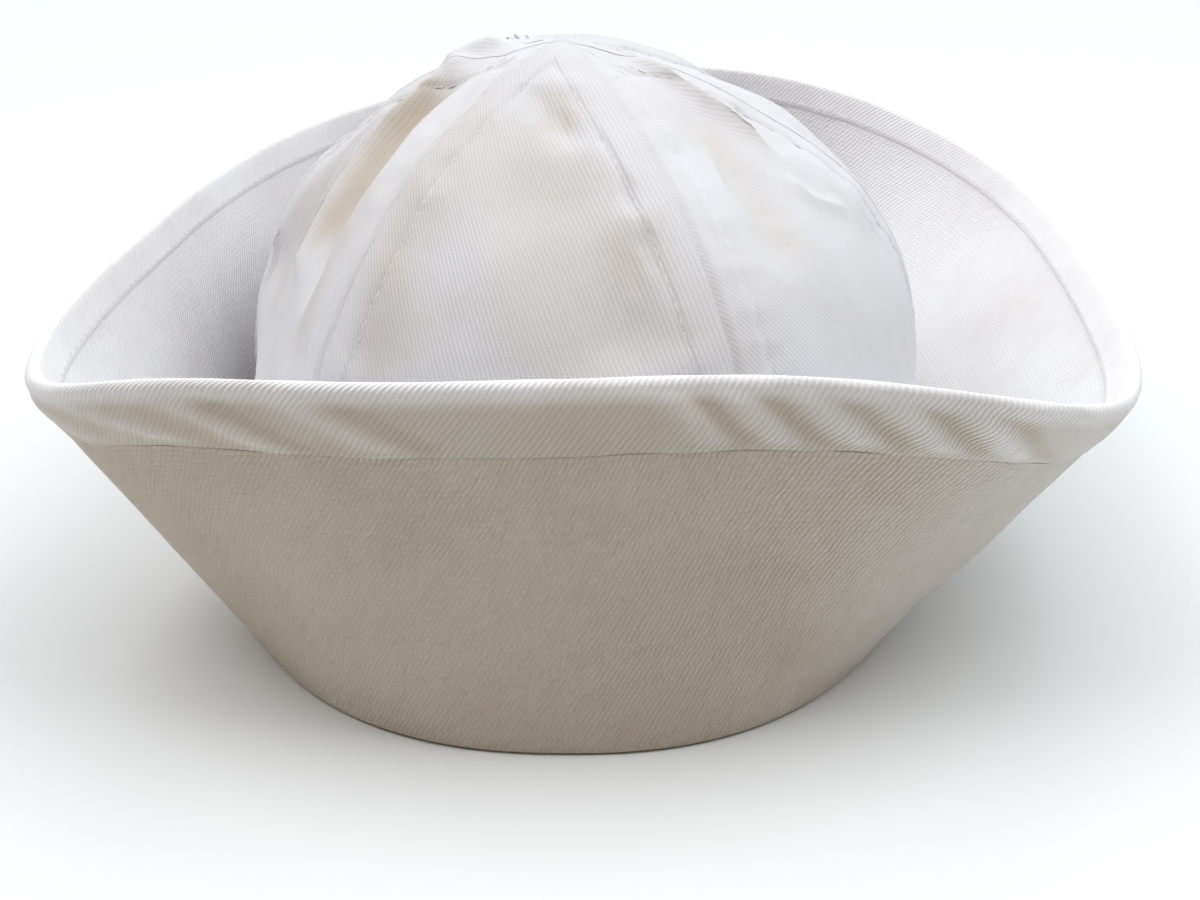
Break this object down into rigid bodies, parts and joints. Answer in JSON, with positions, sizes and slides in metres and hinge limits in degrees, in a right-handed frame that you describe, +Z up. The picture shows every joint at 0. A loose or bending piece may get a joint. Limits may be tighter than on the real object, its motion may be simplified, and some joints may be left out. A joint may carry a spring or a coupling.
{
  "type": "sailor cap",
  "caption": "White cotton sailor cap: a domed crown of sewn gores in a tall turned-up stitched cuff with a folded twill edge band, hollow and open for the head.",
  "frame": {"origin": "middle of the cap's footprint, on the flat foot that it rests on", "axes": "+Z up through the crown, -Y towards the front of the cap, +X towards the wearer's left"},
  "size_m": [0.227, 0.2268, 0.109],
  "materials": {
    "stitched_cotton": "matte white cotton, close rows of quilting stitches",
    "band_cotton": "matte white cotton twill on the slant",
    "crown_cotton": "matte white cotton twill"
  },
  "bodies": {
    "root": {"cuff": "stitched_cotton", "edge_band": "band_cotton", "crown_panel_1": "crown_cotton", "crown_panel_2": "crown_cotton", "crown_panel_3": "crown_cotton", "crown_panel_4": "crown_cotton", "crown_panel_5": "crown_cotton", "crown_panel_6": "crown_cotton"}
  },
  "joints": []
}
